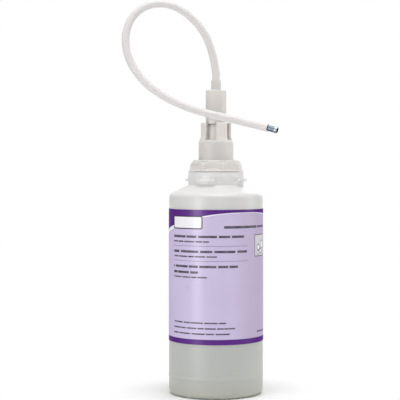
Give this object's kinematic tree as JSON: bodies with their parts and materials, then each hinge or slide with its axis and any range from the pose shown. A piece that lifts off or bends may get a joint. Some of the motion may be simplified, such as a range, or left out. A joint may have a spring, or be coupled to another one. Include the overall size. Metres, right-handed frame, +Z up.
{
  "type": "hand soap refill pack",
  "caption": "Round translucent bottle with wrap-around label, eight-sided screw cap, castellated collar, foam pump and a looped outlet tube.",
  "frame": {"origin": "centre of the bottle's base, on the surface it stands on", "axes": "+Z up along the bottle's axis, -Y towards the front, +X to the right seen from the front"},
  "size_m": [0.1326, 0.0866, 0.3392],
  "materials": {
    "bottle_wall": "satin translucent polyethylene",
    "label_film": "satin printed film, lilac with a purple field",
    "soap": "clear, pale liquid",
    "elastomer": "matt pale grey",
    "white_moulding": "satin off-white",
    "natural_moulding": "satin, milky",
    "tube_plastic": "satin white",
    "stainless_steel": "bright drawn",
    "ferrule_steel": "satin plated"
  },
  "bodies": {
    "bottle": {"bottle": "bottle_wall", "label": "label_film", "liquid_soap": "soap", "neck_gasket": "elastomer"},
    "pump_insert": {"pump_collar": "white_moulding", "pump_cylinder": "natural_moulding", "inlet_ball": "stainless_steel", "dip_tube": "natural_moulding", "return_spring": "stainless_steel"},
    "cap": {"screw_cap": "white_moulding"},
    "head": {"pump_head": "white_moulding", "piston_stem": "white_moulding", "liquid_piston": "natural_moulding", "air_piston": "natural_moulding", "air_valve": "elastomer", "outlet_ball": "stainless_steel", "coarse_mesh": "natural_moulding", "mesh_holder": "natural_moulding", "fine_mesh": "natural_moulding", "delivery_tube": "tube_plastic", "tube_tip": "ferrule_steel"}
  },
  "joints": [
    {"name": "cap_lift", "type": "slide", "parent": "bottle", "child": "pump_insert", "axis": [0, 0, 1], "range_m": [0, 0.0036]},
    {"name": "cap_turn", "type": "hinge", "parent": "pump_insert", "child": "cap", "pos_m": [0, 0, 0.1968], "axis": [0, 0, 1], "range_deg": [0, 300]},
    {"name": "pump_stroke", "type": "slide", "parent": "pump_insert", "child": "head", "axis": [0, 0, -1], "range_m": [0, 0.012], "stiffness_N_per_m": 300, "springref_m": -0.006, "deforming": ["return_spring"]}
  ],
  "couplings": [
    {"joint": "cap_lift", "follows": "cap_turn", "m_per_rad": 0.00066845}
  ]
}
